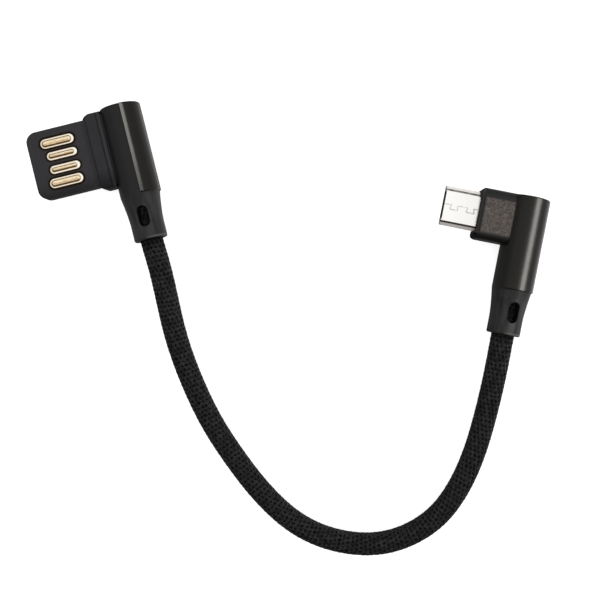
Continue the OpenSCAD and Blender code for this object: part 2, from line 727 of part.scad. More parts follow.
module micro_cord_jacket() color(braid_colour) at_micro() cord_jacket(b_jacket_start, b_len);
module micro_cord_sleeve() color(braid_colour) at_micro() cord_sleeve(b_sleeve_start, b_len);
module micro_wire_red() color("red") at_micro() wire(red_wire, b_jacket_start);
module micro_wire_white() color("white") at_micro() wire(white_wire, b_jacket_start);
module micro_wire_green() color("green") at_micro() wire(green_wire, b_jacket_start);
module micro_wire_black() color("black") at_micro() wire(black_wire, b_jacket_start);

// ---- Cord ----

// A point on a plug's tube axis at distance d from its closed end
function axis_point(place, turn, r, d) = [place.x + d * sin(turn), place.y - d * cos(turn), r];

cord_line = concat(
    [for (d = [0, cord_straight]) axis_point(a_place, a_turn, a_tube_r, a_len + d)],
    [for (p = cord_route) [p.x, p.y, p.z + cord_r]],
    [for (d = [cord_straight, 0]) axis_point(b_place, b_turn, b_tube_r, b_len + d)]
);

function unit(v) = v / norm(v);
// Direction of the line at point i; straight at both ends
function heading(i) =
    i == 0 ? unit(cord_line[1] - cord_line[0]) :
    i == len(cord_line) - 1 ? unit(cord_line[i] - cord_line[i - 1]) :
    unit(unit(cord_line[i + 1] - cord_line[i]) + unit(cord_line[i] - cord_line[i - 1]));
// One ring of the tube: its side vector stays level, so the tube doesn't twist
function ring(i) =
    let (ahead = heading(i), level = unit(cross(ahead, [0, 0, 1])), up = cross(level, ahead))
    [for (k = [0:cord_sides - 1])
        cord_line[i] + cord_r * (cos(360 * k / cord_sides) * level + sin(360 * k / cord_sides) * up)];

module cord() color(braid_colour) {
    n = len(cord_line);
    s = cord_sides;
    points = [for (i = [0:n - 1]) each ring(i)];
    walls = [for (i = [0:n - 2], k = [0:s - 1])
        let (a = i * s + k, b = i * s + (k + 1) % s)
        each [[a, a + s, b + s], [a, b + s, b]]];
    start = [for (k = [0:s - 1]) k];
    finish = [for (k = [s - 1:-1:0]) (n - 1) * s + k];
    polyhedron(points, concat([start], walls, [finish]));
}

usb_a_blade();
usb_a_contacts_upper();
usb_a_contacts_lower();
usb_a_collar();
usb_a_circuit_board();
usb_a_housing();
usb_a_metal_cover();
usb_a_inner_mould();
usb_a_cord_jacket();
usb_a_cord_sleeve();
usb_a_wire_red();
usb_a_wire_white();
usb_a_wire_green();
usb_a_wire_black();
micro_shell();
micro_insulator();
micro_contacts();
micro_latch_left();
micro_latch_right();
micro_circuit_board();
micro_housing();
micro_metal_cover();
micro_inner_mould();
micro_cord_jacket();
micro_cord_sleeve();
micro_wire_red();
micro_wire_white();
micro_wire_green();
micro_wire_black();
cord();
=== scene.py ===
import math
import bpy
import numpy as np
from mathutils import Matrix, Vector


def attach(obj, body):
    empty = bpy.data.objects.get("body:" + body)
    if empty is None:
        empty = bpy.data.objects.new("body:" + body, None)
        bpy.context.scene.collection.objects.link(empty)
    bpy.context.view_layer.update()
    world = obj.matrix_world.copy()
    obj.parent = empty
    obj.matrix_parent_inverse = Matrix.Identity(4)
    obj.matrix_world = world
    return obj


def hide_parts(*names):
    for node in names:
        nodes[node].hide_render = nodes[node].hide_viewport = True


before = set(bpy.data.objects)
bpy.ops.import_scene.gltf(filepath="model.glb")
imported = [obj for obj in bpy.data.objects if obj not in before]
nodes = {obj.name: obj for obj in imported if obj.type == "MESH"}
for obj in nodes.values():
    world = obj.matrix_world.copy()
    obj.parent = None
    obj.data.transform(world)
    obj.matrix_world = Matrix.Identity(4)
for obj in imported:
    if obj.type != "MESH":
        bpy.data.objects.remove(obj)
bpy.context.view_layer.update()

scene = bpy.context.scene
scene.view_settings.view_transform = "Standard"  # keeps black nylon black and the table white

# Both plugs lie with their tubes flat: the middle of the tube's closed end, in metres, and the tube's
# turn about the vertical, in degrees
usbPlug = {"place": (-0.02958, 0.01958, 0.0037), "turn": 13.9}
microPlug = {"place": (0.04179, 0.00378, 0.00366), "turn": -11.1}


# Camera: straight down on the table
cameraSetup = {
    "middle": (0.00192, -0.01392),
    "height": 0.175,
    "imageWidth": 600,
    "focalPixels": 986,         # focal length, in pixels of that width
    "sensorWidth": 36,          # mm
    "clip": (0.005, 20),
}

def makeCamera(setup):
    lens = bpy.data.cameras.new("camera")
    lens.sensor_width = setup["sensorWidth"]
    lens.lens = setup["sensorWidth"] * setup["focalPixels"] / setup["imageWidth"]
    lens.clip_start, lens.clip_end = setup["clip"]
    camera = bpy.data.objects.new("camera", lens)
    camera.location = (*setup["middle"], setup["height"])
    scene.collection.objects.link(camera)
    scene.camera = camera

makeCamera(cameraSetup)
print("camera is placed")


def addPiece(name, verts, faces):
    mesh = bpy.data.meshes.new(name)
    mesh.from_pydata(verts, [], faces)
    piece = bpy.data.objects.new(name, mesh)
    scene.collection.objects.link(piece)
    return piece

def addCorners(piece, name, corners):
    # Two numbers at each corner of each face, for a finish to read
    layer = piece.data.uv_layers.new(name=name)
    layer.data.foreach_set("uv", corners.ravel())


# Braided cord: its route in metres, and the weave of its nylon sleeve
cordSetup = {
    "radius": 0.002,
    "route": [(-0.023887, -0.003426, 0.0037), (-0.023526, -0.004882, 0.0037),
              (-0.02267, -0.00724, 0.0037), (-0.02145, -0.01281, 0.00305),
              (-0.02022, -0.01883, 0.00225), (-0.01872, -0.02383, 0.002), (-0.0163, -0.02984, 0.002),
              (-0.0133, -0.03584, 0.002), (-0.00927, -0.04191, 0.002), (-0.00489, -0.04753, 0.002),
              (0.00059, -0.05267, 0.002), (0.00669, -0.05571, 0.002), (0.01382, -0.05683, 0.002),
              (0.01997, -0.05565, 0.002), (0.0257, -0.05221, 0.002), (0.02966, -0.04705, 0.002),
              (0.03247, -0.04084, 0.002), (0.03435, -0.03433, 0.00225), (0.03574, -0.02782, 0.00305),
              (0.0364, -0.02384, 0.00366), (0.036852, -0.02139, 0.00366),
              (0.037141, -0.019918, 0.00366)],
    "lineStep": 0.0001,
    "bendSoftness": 0.0022,     # how far a bend is eased along the cord
    "squareEnd": 0.003,         # over this length the ends turn square to their reliefs
    "sides": 96,
    "rings": 1030,
    "pathStep": 6,              # rings from one point of the cord's path to the next, in a list that is built and not used
}
weave = {
    "yarns": 16,                # in each direction round the cord
    "ringPitch": 0.78,          # mm along the cord from one row of crossings to the next
    "twist": 0.18,              # extra yarns per mm, from the sleeve's twist
    "crown": 0.5,               # share of the height that a yarn's round back gives
    "crimp": 0.35,              # share from passing over and under
    "depth": 0.2,               # mm from a yarn's crown down to the gaps
    "filaments": 4,             # visible strands across one yarn
}

def unit(directions):
    return directions / np.linalg.norm(directions, axis=-1, keepdims=True)

def lengthAlong(line):
    return np.r_[0, np.cumsum(np.linalg.norm(np.diff(line, axis=0), axis=1))]

def evenly(line, step):
    # The same line in even steps, as near to this one as its length allows
    along = lengthAlong(line)
    at = np.linspace(0, along[-1], int(round(along[-1] / step)) + 1)
    return np.stack([np.interp(at, along, line[:, i]) for i in range(3)], 1)

def easedLine(points, step, softness, perSpan=40):
    # One smooth curve through the route, straight beyond both ends, then evenly spaced
    p = np.array(points)
    ahead = [p[-1] + (p[-1] - p[-2]) * k for k in (2, 4)]
    behind = [p[0] + (p[0] - p[1]) * k for k in (4, 2)]
    p = np.vstack([behind, p, ahead])
    line = []
    for a, b, c, d in zip(p, p[1:], p[2:], p[3:]):
        t = np.linspace(0, 1, perSpan, endpoint=False)[:, None]
        line.append(0.5 * (2 * b + (c - a) * t + (2 * a - 5 * b + 4 * c - d) * t ** 2
                           + (3 * b - a - 3 * c + d) * t ** 3))
    line = evenly(np.vstack(line), step)
    reach = int(3 * softness / step)
    weights = np.exp(-0.5 * (np.arange(-reach, reach + 1) * step / softness) ** 2)
    padded = np.pad(line, ((reach, reach), (0, 0)), mode="reflect", reflect_type="odd")
    line = np.stack([np.convolve(padded[:, i], weights / weights.sum(), "valid")
                     for i in range(3)], 1)
    # Cut back to the route's own ends
    first, last = [np.argmin(np.linalg.norm(line - end, axis=1)) for end in (p[2], p[-3])]
    line = line[first:last + 1]
    line[0], line[-1] = p[2], p[-3]
    return line

def cordLine(setup):
    # The cord's middle line in even steps, and the directions level and up across it
    line = easedLine(setup["route"], setup["lineStep"], setup["bendSoftness"])
    line[:, 2] = np.maximum(line[:, 2], setup["radius"])
    line = evenly(line, lengthAlong(line)[-1] / (setup["rings"] - 1))
    along = lengthAlong(line)
    ahead = unit(np.gradient(line, axis=0))
    route = np.array(setup["route"])
    for fromEnd, square in ((along, route[1] - route[0]),
                            (along[-1] - along, route[-1] - route[-2])):
        share = np.clip(1 - fromEnd / setup["squareEnd"], 0, 1)[:, None]
        ahead += share * (unit(square) - ahead)
    ahead = unit(ahead)
    level = unit(np.cross(ahead, [0, 0, 1]))
    return line, along, level, np.cross(level, ahead)

def weaveHeight(turn, along):
    # Height of the woven sleeve, 0 in a gap and 1 on a crown; turn in whole turns, along in mm
    lean = 0.5 / weave["ringPitch"]
    a = weave["yarns"] * turn + along * (lean + weave["twist"])
    b = weave["yarns"] * turn - along * (lean - weave["twist"])
    i, j = np.floor(a), np.floor(b)
    da, db = a - i - 0.5, b - j - 0.5
    roundA, roundB = (np.sqrt(np.clip(1 - 4 * d * d, 0, 1)) for d in (da, db))
    overA = np.cos(np.pi * (db + i + j)) * weave["crimp"]
    overB = -np.cos(np.pi * (da + i + j)) * weave["crimp"]
    top = np.maximum(roundA * weave["crown"] + overA, roundB * weave["crown"] + overB)
    return np.clip(top / (weave["crown"] + weave["crimp"]), 0, 1)

def makeCord(setup):
    line, along, level, up = cordLine(setup)
    rings, sides = setup["rings"], setup["sides"]
    turn = np.arange(sides) / sides
    height = weaveHeight(turn[None, :], along[:, None] * 1000)
    radius = setup["radius"] - weave["depth"] / 1000 * (1 - height)
    spin = 2 * np.pi * turn[None, :, None]
    outward = np.cos(spin) * level[:, None] + np.sin(spin) * up[:, None]
    verts = (line[:, None] + radius[..., None] * outward).reshape(-1, 3)
    ring, side = np.meshgrid(np.arange(rings - 1), np.arange(sides), indexing="ij")
    here, beside = ring * sides + side, ring * sides + (side + 1) % sides
    quads = np.stack([here, here + sides, beside + sides, beside], -1).reshape(-1, 4)
    caps = [list(range(sides)), list(range((rings - 1) * sides, rings * sides))[::-1]]
    cord = addPiece("braidedCord", verts.tolist(), quads.tolist() + caps)
    cord.data.shade_smooth()
    # The weave's own coordinates: whole turns across, centimetres along
    u = np.stack([side, side, side + 1, side + 1], -1).reshape(-1) / sides
    v = np.stack([ring, ring + 1, ring + 1, ring], -1).reshape(-1) * along[1] * 100
    onCaps = np.zeros(2 * sides)
    addCorners(cord, "weave", np.stack([np.r_[u, onCaps], np.r_[v, onCaps]], 1))
    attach(cord, "cable")
    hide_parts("cord")
    line[::setup["pathStep"]].tolist() + [line[-1].tolist()]
    print(f"cord is {along[-1] * 1000:.1f} mm long, {len(cord.data.polygons)} faces")
    return cord, along[-1] * 1000

cord, cordLength = makeCord(cordSetup)


# Finishes are built from sockets that take arithmetic
class Field:
    def __init__(self, finish, socket):
        self.finish = finish
        self.socket = socket

    def maths(self, operation, *values, clamp=False):
        return self.finish.add("ShaderNodeMath", {"operation": operation, "use_clamp": clamp}, values)

    def __add__(self, other):
        return self.maths("ADD", self, other)

    def __radd__(self, other):
        return self.maths("ADD", other, self)

    def __sub__(self, other):
        return self.maths("SUBTRACT", self, other)

    def __rsub__(self, other):
        return self.maths("SUBTRACT", other, self)

    def __mul__(self, other):
        return self.maths("MULTIPLY", self, other)

    def __rmul__(self, other):
        return self.maths("MULTIPLY", other, self)

    def __truediv__(self, other):
        return self.maths("DIVIDE", self, other)

    def __neg__(self):
        return self.maths("MULTIPLY", self, -1)

    def __pow__(self, other):
        return self.maths("POWER", self, other)

    def __abs__(self):
        return self.maths("ABSOLUTE", self)

    def floor(self):
        return self.maths("FLOOR", self)

    def sqrt(self):
        return self.maths("SQRT", self)

    def cos(self):
        return self.maths("COSINE", self)

    def angleFrom(self, other):
        return self.maths("ARCTAN2", self, other)

    def clamp(self):
        return self.maths("ADD", self, 0, clamp=True)

    def above(self, other):
        return self.maths("MAXIMUM", self, other)

    def below(self, other):
        return self.maths("MINIMUM", self, other)

    def more(self, other):
        return self.maths("GREATER_THAN", self, other)

    def rise(self, low, high):
        # 0 below low, 1 above high, eased between
        return self.finish.add("ShaderNodeMapRange", {"interpolation_type": "SMOOTHSTEP"},
                               {"Value": self, "From Min": low, "From Max": high})

    def fall(self, low, high):
        # 1 below low, 0 above high
        return 1 - self.rise(low, high)

    def band(self, low, high, soft):
        # 1 between low and high, 0 outside
        return self.rise(low - soft, low + soft) * self.fall(high - soft, high + soft)

    def marks(self, rows):
        # Bands side by side, each (tone, low, high, softness)
        return sum(tone * self.band(low, high, soft) for tone, low, high, soft in rows)


def blend(first, second, share):
    # Numbers, plain or varying: first where share is 0, second where it is 1
    return first + (second - first) * share

def about(middle, edge):
    # Both ends of a soft edge, which are given from its middle
    return [middle + end for end in edge]


class Finish:
    def __init__(self, name, owner=None):
        # owner is a new material, or the world
        self.owner = owner or bpy.data.materials.new(name)
        self.owner.use_nodes = True
        self.tree = self.owner.node_tree
        self.tree.nodes.clear()

    def add(self, kind, settings=None, values=(), output=0):
        # Any node: settings first, then the numbers or links of its sockets
        node = self.tree.nodes.new(kind)
        for name, value in (settings or {}).items():
            setattr(node, name, value)
        pairs = values.items() if isinstance(values, dict) else enumerate(values)
        for name, value in pairs:
            if isinstance(value, Field):
                self.tree.links.new(value.socket, node.inputs[name])
            else:
                node.inputs[name].default_value = value
        return Field(self, node.outputs[output]) if node.outputs else None

    def mix(self, share, first, second):
        # Colours: first where share is 0, second where it is 1
        first, second = [c if isinstance(c, Field) else (*c, 1) for c in (first, second)]
        return self.add("ShaderNodeMix", {"data_type": "RGBA"}, {0: share, 6: first, 7: second}, 2)

    def split(self, vector):
        first = self.add("ShaderNodeSeparateXYZ", {}, [vector])
        return [Field(self, socket) for socket in first.socket.node.outputs]

    def join(self, x, y):
        return self.add("ShaderNodeCombineXYZ", {}, [x, y])

    def millimetres(self):
        # The scene's own frame
        place = self.add("ShaderNodeTexCoord", output="Object")
        return self.add("ShaderNodeVectorMath", {"operation": "SCALE"}, {0: place, "Scale": 1000})

    def plugSpace(self, plug):
        # Millimetres in a plug's own frame: x away from the contacts, y up the tube, z up
        place = self.add("ShaderNodeTexCoord", output="Object")
        return self.add("ShaderNodeMapping", {"vector_type": "TEXTURE"}, {
            "Vector": place, "Location": plug["place"],
            "Rotation": (0, 0, math.radians(plug["turn"])), "Scale": (0.001, 0.001, 0.001)})

    def noise(self, vector, scale, detail=2, roughness=0.5):
        return self.add("ShaderNodeTexNoise", {}, {
            "Vector": vector, "Scale": scale, "Detail": detail, "Roughness": roughness})

    def streaks(self, vector, stretch, scale=1, detail=4, roughness=0.6):
        # Noise drawn out in the direction of the smallest stretch
        drawnOut = self.add("ShaderNodeMapping", {}, {"Vector": vector, "Scale": stretch})
        return self.noise(drawnOut, scale, detail, roughness)

    def chance(self, x, y):
        # A different number for each pair of whole numbers
        return self.add("ShaderNodeTexWhiteNoise", {"noise_dimensions": "2D"},
                        {"Vector": self.join(x, y)})

    def segment(self, x, y, a, b):
        # Distance of (x, y) from the straight line between a and b
        runX, runY = b[0] - a[0], b[1] - a[1]
        share = (((x - a[0]) * runX + (y - a[1]) * runY) / (runX ** 2 + runY ** 2)).clamp()
        return ((x - a[0] - share * runX) ** 2 + (y - a[1] - share * runY) ** 2).sqrt()

    def bump(self, height, depth):
        # depth in mm
        return self.add("ShaderNodeBump", {}, {"Height": height, "Distance": depth / 1000})

    def surface(self, sockets):
        shader = self.add("ShaderNodeBsdfPrincipled", {}, sockets)
        self.add("ShaderNodeOutputMaterial", {}, {"Surface": shader})
        return self.owner


def wear(piece, material):
    mesh = nodes[piece].data if isinstance(piece, str) else piece.data
    mesh.materials.clear()
    mesh.materials.append(material)


# Woven nylon: the same weave as the cord's mesh, with each yarn's strands
nylon = {
    # gap is the darkest colour: painted shade in the slits between the yarns
    "yarn": (0.0232, 0.0212, 0.0237), "gap": (0.0004, 0.0003, 0.0004),
    "roughness": 0.65, "specular": 0.04, "shine": 0.36, "shineRoughness": 0.4,
    "sway": 0.5,                # how far a yarn leaves its place, in yarns
    "swayScale": 1.6, "driftScale": 0.9, "fuzzScale": 9,
    "threadStretch": (12, 2.6),           # of fine streaks, per turn and per mm
    "tone": {"base": 0.06, "height": 0.3, "strands": 0.3, "crossing": 0.45, "drift": 0.25,
             "threads": 1.1},
    "slitLength": 0.19, "slitWidth": 0.9,           # mm from the middle of a gap
    "slitSlant": 0.3, "slitEdge": (0.4, 1.3),
    "slitDark": (0.7, 1.0),               # painted shade: how dark the palest slit is, and the darkest
    "crownEdge": (0.35, 0.9),   # heights between which a yarn's tone rises, painted shade lower down
    "fuzzRoughness": 0.15, "strandRelief": 0.1, "fuzzRelief": 0.1,
    "reliefDepth": 0.12,        # mm
    "sleeveShade": 0.4,         # how much light reaches the sleeve inside a strain relief
    "mouthShade": 0.35,         # and the cord right where it comes out
    "mouthReach": 2.6,          # mm of cord over which the shade fades
}

def yarnsOnTop(f, a, b):
    # Height of the upper yarn, its strands, and a tone for each crossing
    i, j = a.floor(), b.floor()
    da, db = a - i - 0.5, b - j - 0.5
    roundA, roundB = [(1 - 4 * d * d).clamp().sqrt() * weave["crown"] for d in (da, db)]
    topA = roundA + (math.pi * (db + i + j)).cos() * weave["crimp"]
    topB = roundB - (math.pi * (da + i + j)).cos() * weave["crimp"]
    height = (topA.above(topB) / (weave["crown"] + weave["crimp"])).clamp()
    across = blend(db, da, topA.more(topB))
    strands = (across * (2 * math.pi * weave["filaments"])).cos() * 0.5 + 0.5
    return height, strands, f.chance(i, j)

def weaveSlits(f, a, b):
    # Painted shade in the slits where four yarns meet, some deeper than others
    p, q = (a + 0.5).floor(), (b + 0.5).floor()
    u, v = a - p, b - q
    lengthways = (u - v) * weave["ringPitch"]
    halfPitch = math.pi * cordSetup["radius"] * 1000 / weave["yarns"]
    sideways = (u + v - 2 * weave["twist"] * lengthways) * halfPitch
    away = (abs(lengthways - nylon["slitSlant"] * sideways) / nylon["slitLength"]
            + abs(sideways) / nylon["slitWidth"])
    return away.fall(*nylon["slitEdge"]) * blend(*nylon["slitDark"], f.chance(p, q))

def weaveFinish(name, coordinates):
    f = Finish(name)
    turn, along, place, shade = coordinates(f)
    sway = (f.noise(place, nylon["swayScale"]) - 0.5) * nylon["sway"]
    lean = 0.5 / weave["ringPitch"]
    a = turn * weave["yarns"] + along * (lean + weave["twist"]) + sway
    b = turn * weave["yarns"] - along * (lean - weave["twist"]) - sway
    height, strands, crossing = yarnsOnTop(f, a, b)
    drift = f.noise(place, nylon["driftScale"], detail=3)
    fuzz = f.noise(place, nylon["fuzzScale"], detail=3)
    perTurn, perLength = nylon["threadStretch"]
    threads = f.noise(f.join(turn * perTurn, along * perLength), scale=1, detail=1)
    t = nylon["tone"]
    tone = (t["base"] + t["height"] * height.rise(*nylon["crownEdge"]) + t["strands"] * strands
            + t["crossing"] * crossing + t["drift"] * (drift - 0.5) + t["threads"] * (threads - 0.5))
    # The yarn's tone under painted shade: in the slits, and from the shade argument in a relief and at
    # the cord's mouths
    lit = ((1 - weaveSlits(f, a, b)) * tone * shade).clamp()
    relief = height + nylon["strandRelief"] * strands + nylon["fuzzRelief"] * fuzz
    return f.surface({"Base Color": f.mix(lit, nylon["gap"], nylon["yarn"]),
                      "Roughness": nylon["roughness"] + nylon["fuzzRoughness"] * (fuzz - 0.5),
                      "Specular IOR Level": nylon["specular"],
                      "Coat Weight": lit * nylon["shine"], "Coat Roughness": nylon["shineRoughness"],
                      "Normal": f.bump(relief, nylon["reliefDepth"])})

def cordCoordinates(f):
    turn, centimetres, _ = f.split(f.add("ShaderNodeUVMap", {"uv_map": "weave"}))
    along = centimetres * 10
    fromMouth = along.below(cordLength - along)
    shade = blend(nylon["mouthShade"], 1, fromMouth.rise(0, nylon["mouthReach"]))
    return turn, along, f.millimetres(), shade

def sleeveCoordinates(plug):
    def coordinates(f):
        place = f.plugSpace(plug)
        x, y, z = f.split(place)
        return z.angleFrom(x) / (2 * math.pi), -y, place, nylon["sleeveShade"]
    return coordinates

wear(cord, weaveFinish("wovenCord", cordCoordinates))
wear("usb_a_cord_sleeve", weaveFinish("usbSleeveWeave", sleeveCoordinates(usbPlug)))
wear("micro_cord_sleeve", weaveFinish("microSleeveWeave", sleeveCoordinates(microPlug)))
print("cord is woven")


# What the two strain reliefs share, in mm
reliefLook = {
    "streaks": (1.1, 0.16, 1.1),          # stretch of the moulding's flow lines
    "fadeIn": 3,                # over which the relief's colour comes in
    "neckStart": 0.2, "neckSoft": 0.3,
    "lip": (-0.5, -0.35), "lipFrom": (-0.6, 0.4),  # painted highlight, from the relief's end, and across
    # rim: painted shade round the mouth, from the relief's end
    "rim": (-0.3, -0.1), "rimDark": 0.8,
}

def reliefTone(f, place, x, down, m, shade=0):
    # 0 on the tube, and on the relief its flow lines less any painted shade, with painted highlight and
    # shade bands round its neck
    r, start = reliefLook, m["reliefStart"]
    flow = f.streaks(place, r["streaks"], detail=3, roughness=0.5) - 0.5
    onRelief = down.rise(start - m["fadeBefore"], start + r["fadeIn"])
    neck = down.band(start + r["neckStart"], start + m["neckEnd"], r["neckSoft"])
    return onRelief * (m["reliefTone"] + m["flow"] * flow - shade) + neck * x.marks(m["neckLightAndShade"])

def reliefMouth(f, colour, x, down, m):
    # A painted highlight on one half of the mouth's lip, and painted shade round its rim
    r = reliefLook
    lip, rim = [down.rise(*about(m["end"], r[name])) for name in ("lip", "rim")]
    colour = f.mix(lip * x.rise(*r["lipFrom"]), colour, m["lip"])
    return f.mix(r["rimDark"] * rim, colour, m["tube"])


# Satin moulding of the USB-A tube and its strain relief
usbMoulding = {
    "tube": (0.005, 0.0048, 0.005), "relief": (0.028, 0.0268, 0.0275),
    "dust": (0.014, 0.0137, 0.014), "lip": (0.085, 0.082, 0.082),
    "roughness": 0.42, "specular": 0.25,
    "grainScale": 7, "grainRoughness": 0.1, "grainDust": 0.1, "grainDepth": 0.006,
    "driftScale": 0.4, "driftRoughness": 0.15, "driftDust": 0.35,
    "reliefStart": 15.7, "end": 23.7,     # mm down the tube
    "fadeBefore": 0.8, "neckEnd": 2,
    "reliefTone": 0.52, "flow": 4,
    "neckLightAndShade": [(0.45, 1.2, 2.0, 0.3), (-0.5, -0.9, 0.6, 0.3),    # tone, left, right, softness
               (0.25, -9, -1.15, 0.25)],
    "shadedSide": 0.4, "shadedFrom": (1.2, 2.2),
    "joint": (-2.9, -2.2), "jointDust": 0.6,       # where it meets the collar
}

def usbMouldingFinish(m):
    f = Finish("usbMoulding")
    place = f.plugSpace(usbPlug)
    x, y, _ = f.split(place)
    down = -y
    grain = f.noise(place, m["grainScale"], detail=3)
    drift = f.noise(place, m["driftScale"], detail=3)
    # Painted shade on one side of the relief
    tone = reliefTone(f, place, x, down, m, m["shadedSide"] * x.rise(*m["shadedFrom"]))
    colour = f.mix(tone.clamp(), m["tube"], m["relief"])
    colour = reliefMouth(f, colour, x, down, m)
    dust = m["driftDust"] * drift + m["grainDust"] * grain + m["jointDust"] * x.fall(*m["joint"])
    return f.surface({"Base Color": f.mix(dust.clamp(), colour, m["dust"]),
                      "Specular IOR Level": m["specular"],
                      "Roughness": (m["roughness"] + m["driftRoughness"] * (drift - 0.5)
                                    + m["grainRoughness"] * (grain - 0.5)),
                      "Normal": f.bump(grain, m["grainDepth"])})

wear("usb_a_housing", usbMouldingFinish(usbMoulding))


# Gold contacts: a rolled rim, a groove and a crowned island, sunk in both faces of the blade, in mm
contactShape = {
    "middle": -6.9,             # of the four, up the plug's own y axis
    "outer": {"side": 3.5, "x": -11.6, "length": 5.95, "width": 1.7, "flange": -0.02},
    "inner": {"side": 1.2, "x": -11.3, "length": 5.25, "width": 1.35, "flange": 0.04},
    "base": 0.33, "top": 1.16,            # height above the plug's middle
    "gap": 0.03, "rimEnd": 0.27, "grooveEnd": 0.42,              # inwards from the outline
    "rimDrop": 0.05, "rimSteps": 9,
    "grooveDepth": 0.19, "grooveRound": 0.1, "grooveSteps": (0.25, 0.5, 0.75),
    "islandEdge": ((0, 0.085), (0.04, 0.05), (0.1, 0.03), (0.18, 0.02)),    # inset, drop
    "islandTop": (0.02, 0.015),           # left open in the middle, and how far below the top
    "heel": 0.2,                # how much wider the rim is at the end by the collar
    "lean": 0.05,               # how far the island lies off the middle of its groove
    "arc": 16,                  # points round each end
}

def contactProfile(m, radius, flange):
    # (inset from the outline, height) from the base, over the rim and groove, to the island
    points = [(m["gap"], m["base"])]
    half = (m["rimEnd"] + flange) / 2
    for t in np.linspace(-1, 1, m["rimSteps"]):
        points.append((half * (1 + t) - flange, m["top"] - m["rimDrop"] * (1 - math.sqrt(1 - t * t))))
    for share in m["grooveSteps"]:
        points.append((m["rimEnd"] + share * (m["grooveEnd"] - m["rimEnd"]),
                       m["top"] - m["grooveDepth"] + m["grooveRound"] * (2 * share - 1) ** 2))
    for inset, drop in m["islandEdge"]:
        points.append((m["grooveEnd"] + inset, m["top"] - drop))
    opening, drop = m["islandTop"]
    points.append((radius - opening, m["top"] - drop))
    return points

def fromPlug(plug, points):
    # A plug's own millimetres to the scene's metres
    points = np.array(points) / 1000
    c, s = math.cos(math.radians(plug["turn"])), math.sin(math.radians(plug["turn"]))
    x, y, z = points.T
    return (np.stack([x * c - y * s, x * s + y * c, z], 1) + plug["place"]).tolist()

def makeContacts(name, side, m):
    # side is 1 for the upper face and -1 for the lower
    verts, faces, marks = [], [], []
    turns = np.r_[np.linspace(-90, 90, m["arc"]), np.linspace(90, 270, m["arc"]), 270]
    ends = np.r_[np.ones(m["arc"]), -np.ones(m["arc"])]
    n = len(ends)
    cos, sin = np.cos(np.radians(turns[:n])), np.sin(np.radians(turns[:n]))
    for contact in (m["outer"], m["inner"]):
        radius, straight = contact["width"] / 2, (contact["length"] - contact["width"]) / 2
        profile = contactProfile(m, radius, contact["flange"])
        for across in (-1, 1):
            first = len(verts)
            middleY = m["middle"] + across * contact["side"]
            for inset, height in profile:
                heel = m["heel"] * min(1, max(0, inset / m["rimEnd"]))
                lean = m["lean"] * (inset >= m["grooveEnd"])
                reach = ends * straight - heel * (ends > 0)
                verts += [(contact["x"] + reach[k] + (radius - inset) * cos[k],
                           middleY + lean + (radius - inset) * sin[k], side * height)
                          for k in range(n)]
            for ring, ((inset, _), (nextInset, _)) in enumerate(zip(profile, profile[1:])):
                for k in range(n):
                    a, b = first + ring * n + k, first + ring * n + (k + 1) % n
                    faces.append([a, b, b + n, a + n])
                    marks.append([(turns[k], inset), (turns[k + 1], inset),
                                  (turns[k + 1], nextInset), (turns[k], nextInset)])
            for ring, order in ((0, range(n - 1, -1, -1)), (len(profile) - 1, range(n))):
                faces.append([first + ring * n + k for k in order])
                marks.append([(turns[k], profile[ring][0]) for k in order])
    if side < 0:
        faces, marks = [face[::-1] for face in faces], [mark[::-1] for mark in marks]
    contacts = addPiece(name, fromPlug(usbPlug, verts), faces)
    contacts.data.shade_smooth()
    # Each corner's angle round its contact's outline, in whole turns, and its inset in mm
    corners = np.array([corner for mark in marks for corner in mark])
    addCorners(contacts, "outline", corners / (360, 1))
    return contacts

# Gold plate: the pale rim is partly painted highlight on its rolled edge, and the dark groove painted
# shade
goldPlate = {
    "rim": (1.0, 0.9, 0.74), "paleAndLit": (1.0, 0.98, 0.91), "dull": (0.66, 0.53, 0.36),
    "island": (0.58, 0.37, 0.16), "bright": (1.0, 0.86, 0.62), "groove": (0.05, 0.022, 0.004),
    "pin": (0.86, 0.64, 0.34),
    "brushed": (0.8, 6, 6), "brushScale": 1.3, "spotScale": 3.2,
    "paintedSheen": (0.3, 0.9),       # painted highlight, from here to here towards the end by the collar
    "rimEdge": (-0.04, 0.01), "grooveEdge": (0.02, 0.03),        # mm
    "grooveDark": 0.63, "grooveFar": 0.15, "grooveUnderSheen": 0.5,
    "shadeReach": 0.08, "shadeSide": (-0.8, 0.2),
    "islandShine": {"base": -1.25, "grain": 2.2, "spots": 1.5, "far": 0.3, "paintedSheen": 0.5},
    "rimDull": {"base": -0.45, "near": 0.5}, "nearEdge": (0, 0.9), "rimSheen": 0.7,
    "roughness": 0.42, "rimRoughness": 0.32, "grainRoughness": 0.2,
    "depth": 0.03, "rimSmooth": 0.9,
    "pinScale": 5, "pinRoughness": 0.3, "pinGrain": 0.15, "pinDepth": 0.01,
}

